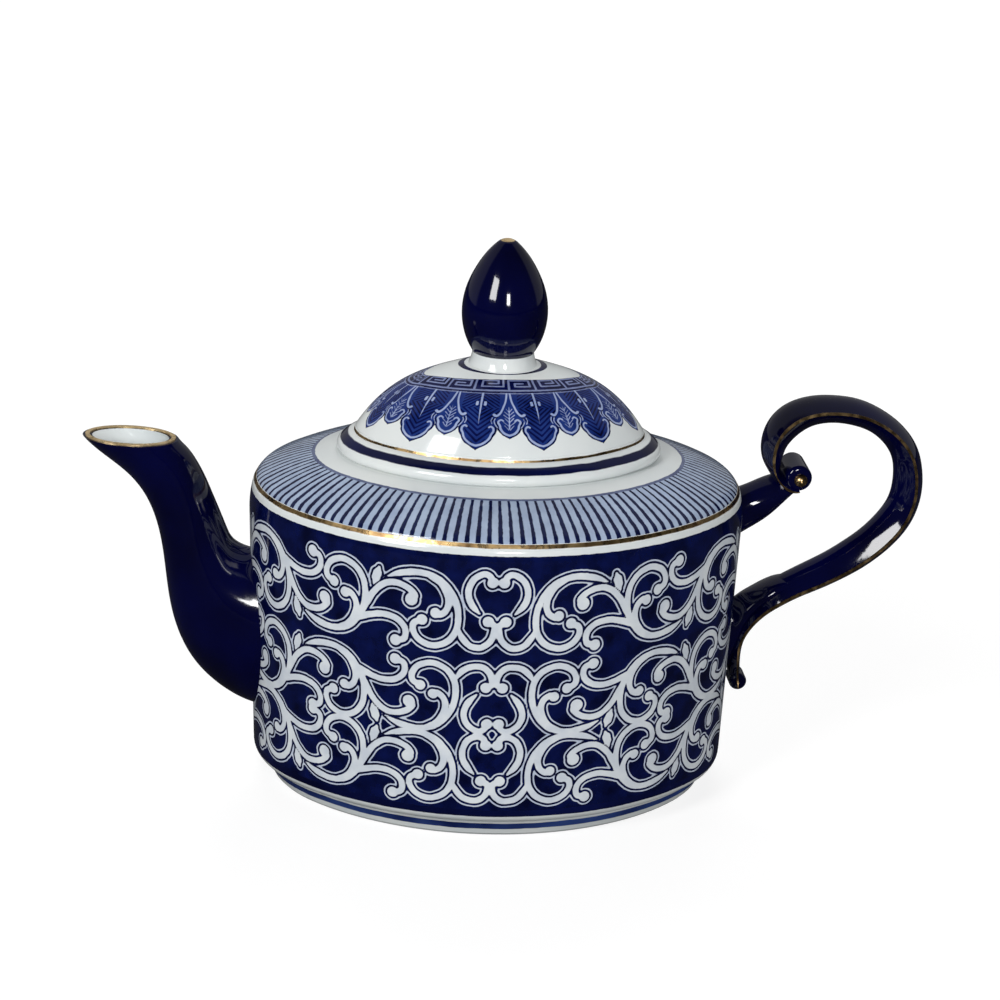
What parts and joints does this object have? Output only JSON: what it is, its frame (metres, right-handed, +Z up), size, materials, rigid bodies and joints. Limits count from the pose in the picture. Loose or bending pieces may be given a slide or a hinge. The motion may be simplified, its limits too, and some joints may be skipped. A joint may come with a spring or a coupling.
{
  "type": "porcelain teapot",
  "caption": "Oval blue-and-white porcelain teapot with a hollow curved spout, a scroll strap handle and a lift-off domed lid with a pointed bud finial.",
  "frame": {"origin": "on the table, under the middle of the whole length from the spout's lip to the handle's loop", "axes": "+X towards the handle, -X towards the spout, +Z up, and -Y towards the viewer of the picture"},
  "size_m": [0.263, 0.1268, 0.174],
  "materials": {
    "porcelain_body": "clear gloss glaze over painted ornament",
    "porcelain_cobalt": "deep cobalt gloss glaze",
    "porcelain_white": "clear gloss glaze over painted ornament",
    "gilding": "thin burnished gilding"
  },
  "bodies": {
    "pot": {"pot_body": "porcelain_body", "spout": "porcelain_cobalt", "handle": "porcelain_cobalt", "gilt_shoulder_line": "gilding", "gilt_spout_rim": "gilding", "gilt_handle_line_front": "gilding", "gilt_handle_line_back": "gilding", "gilt_curl_beads": "gilding"},
    "cover": {"lid": "porcelain_white", "finial": "porcelain_cobalt", "gilt_lid_line": "gilding", "gilt_finial_tip": "gilding"}
  },
  "joints": [
    {"name": "lid_lift", "type": "slide", "parent": "pot", "child": "cover", "axis": [0, 0, 1], "range_m": [0, 0.09]}
  ]
}
